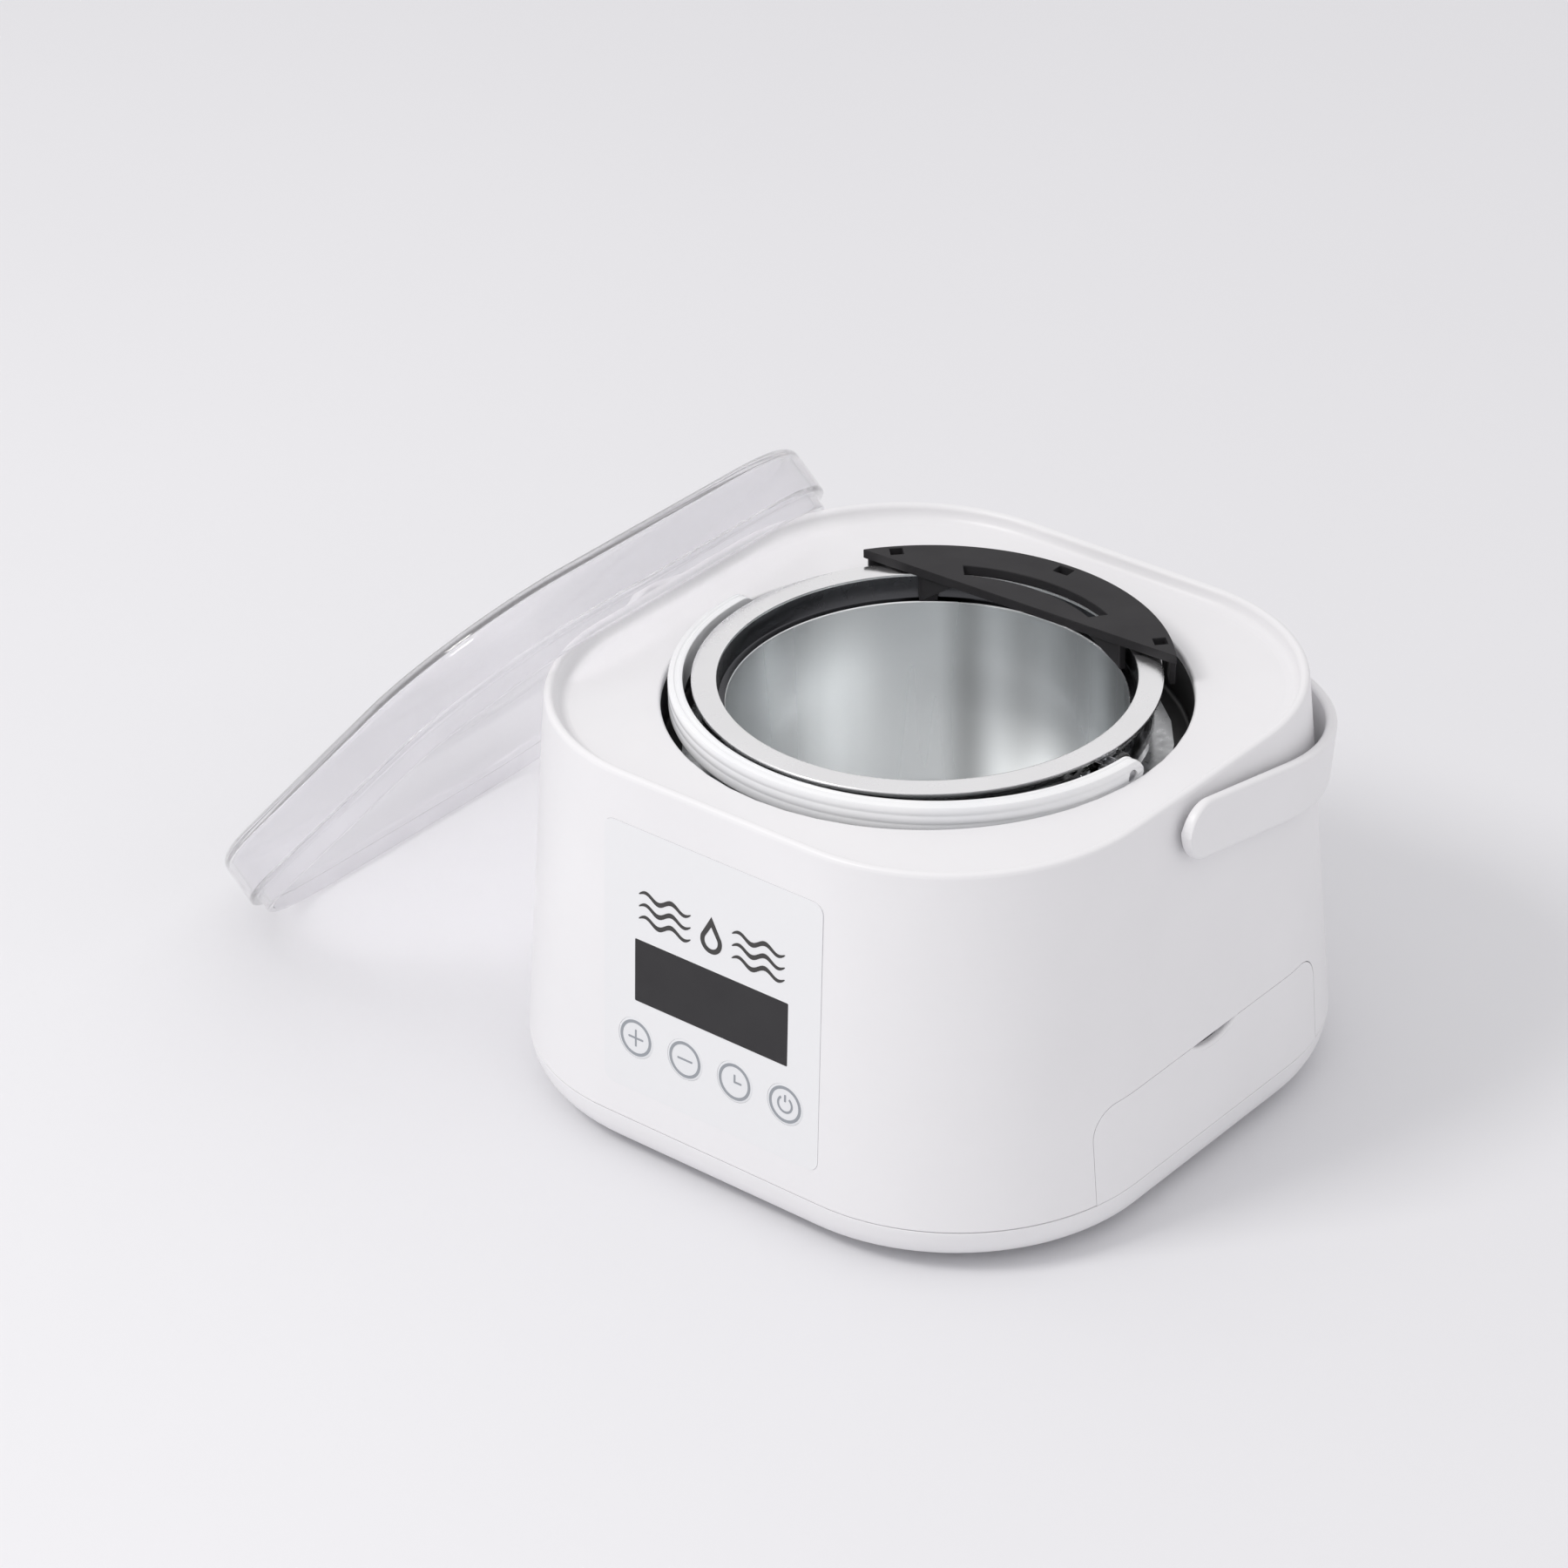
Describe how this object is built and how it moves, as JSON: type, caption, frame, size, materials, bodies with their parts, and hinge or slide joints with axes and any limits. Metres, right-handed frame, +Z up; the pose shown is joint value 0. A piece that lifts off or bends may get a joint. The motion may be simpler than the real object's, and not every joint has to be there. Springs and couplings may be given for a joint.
{
  "type": "paraffin wax bath",
  "caption": "Rounded-square wax heater with a lift-out metal pot, clear lid leaning on its side, carry handle, storage drawer, display and touch keys.",
  "frame": {"origin": "on the floor, under the centre of the whole object's box, the leaning lid and the rear handle included", "axes": "+X to the right along the control panel, away from the leaning lid; +Y to the back; +Z up"},
  "size_m": [0.2828, 0.1804, 0.129],
  "materials": {
    "white_plastic": "satin moulded plastic with very fine horizontal lines",
    "black_plastic": "fine matt grain",
    "clear_plastic": "clear moulded plastic, lightly frosted in places",
    "pot_steel": "bright tinned steel, satin inside the pot",
    "cup_aluminium": "spun aluminium",
    "label_film": "smooth pale blue-grey printed film",
    "dark_window": "smooth charcoal display window",
    "circuit_board": "green solder mask",
    "grey_rubber": "matt grey rubber",
    "zinc_screw": "zinc-plated steel",
    "glass_fibre": "matt glass-fibre wrap",
    "mica_band": "brown mica and resin",
    "brass_pin": "bright brass",
    "wire_insulation": "silicone wire insulation"
  },
  "bodies": {
    "housing": {"outer_shell": "white_plastic", "base_pan": "white_plastic", "drawer_runner_front": "white_plastic", "drawer_runner_rear": "white_plastic", "well_liner": "black_plastic", "power_inlet": "black_plastic", "relay": "black_plastic", "capacitor": "black_plastic", "display_module": "black_plastic", "temperature_sensor": "black_plastic", "switch_plus": "black_plastic", "switch_minus": "black_plastic", "switch_timer": "black_plastic", "switch_power": "black_plastic", "heating_cup": "cup_aluminium", "heat_shield": "cup_aluminium", "control_label": "label_film", "display_window": "dark_window", "control_board": "circuit_board", "power_board": "circuit_board", "foot_front_left": "grey_rubber", "foot_rear_left": "grey_rubber", "foot_front_right": "grey_rubber", "foot_rear_right": "grey_rubber", "base_screw_front_left": "zinc_screw", "base_screw_rear_left": "zinc_screw", "base_screw_front_right": "zinc_screw", "base_screw_rear_right": "zinc_screw", "carry_handle_pin_left": "zinc_screw", "carry_handle_pin_right": "zinc_screw", "thermal_fuse": "zinc_screw", "insulation_sleeve": "glass_fibre", "heater_band": "mica_band", "transformer": "mica_band", "inlet_pin_left": "brass_pin", "inlet_pin_right": "brass_pin", "heater_lead_front": "wire_insulation", "heater_lead_rear": "wire_insulation", "inlet_lead": "wire_insulation", "control_lead": "wire_insulation"},
    "pot": {"wax_pot": "pot_steel", "pot_collar": "clear_plastic", "pot_handle_pin_left": "zinc_screw", "pot_handle_pin_right": "zinc_screw"},
    "pot_handle": {"pot_handle": "clear_plastic"},
    "spatula_rest": {"spatula_rest": "black_plastic"},
    "lid": {"lid": "clear_plastic"},
    "carry_handle": {"carry_handle": "white_plastic"},
    "drawer": {"drawer_front": "white_plastic", "drawer_tray": "white_plastic"},
    "key_plus": {"key_plus": "label_film"},
    "key_minus": {"key_minus": "label_film"},
    "key_timer": {"key_timer": "label_film"},
    "key_power": {"key_power": "label_film"}
  },
  "joints": [
    {"name": "lid_lift", "type": "slide", "parent": "housing", "child": "lid", "axis": [0.7379, 0, -0.6749], "range_m": [-0.26, 0]},
    {"name": "carry_handle_swing", "type": "hinge", "parent": "housing", "child": "carry_handle", "pos_m": [0.05135, -0.00706, 0.1002], "axis": [-1, 0, 0], "range_deg": [-100, 0]},
    {"name": "pot_lift", "type": "slide", "parent": "housing", "child": "pot", "axis": [0, 0, 1], "range_m": [0, 0.1]},
    {"name": "pot_handle_swing", "type": "hinge", "parent": "pot", "child": "pot_handle", "pos_m": [0.05135, -0.00216, 0.1056], "axis": [-0.9988, 0.0489, 0], "range_deg": [0, 90]},
    {"name": "spatula_rest_lift", "type": "slide", "parent": "pot", "child": "spatula_rest", "axis": [0, 0, 1], "range_m": [0, 0.03]},
    {"name": "drawer_slide", "type": "slide", "parent": "housing", "child": "drawer", "axis": [1, 0, 0], "range_m": [0, 0.08]},
    {"name": "key_plus_press", "type": "slide", "parent": "housing", "child": "key_plus", "axis": [0, 0.9984, -0.0567], "range_m": [0, 0.0004], "stiffness_N_per_m": 600},
    {"name": "key_minus_press", "type": "slide", "parent": "housing", "child": "key_minus", "axis": [0, 0.9984, -0.0567], "range_m": [0, 0.0004], "stiffness_N_per_m": 600},
    {"name": "key_timer_press", "type": "slide", "parent": "housing", "child": "key_timer", "axis": [0, 0.9984, -0.0567], "range_m": [0, 0.0004], "stiffness_N_per_m": 600},
    {"name": "key_power_press", "type": "slide", "parent": "housing", "child": "key_power", "axis": [0, 0.9984, -0.0567], "range_m": [0, 0.0004], "stiffness_N_per_m": 600}
  ],
  "couplings": [
    {"joint": "carry_handle_swing", "follows": "lid_lift", "rad_per_m": 6.7128}
  ]
}
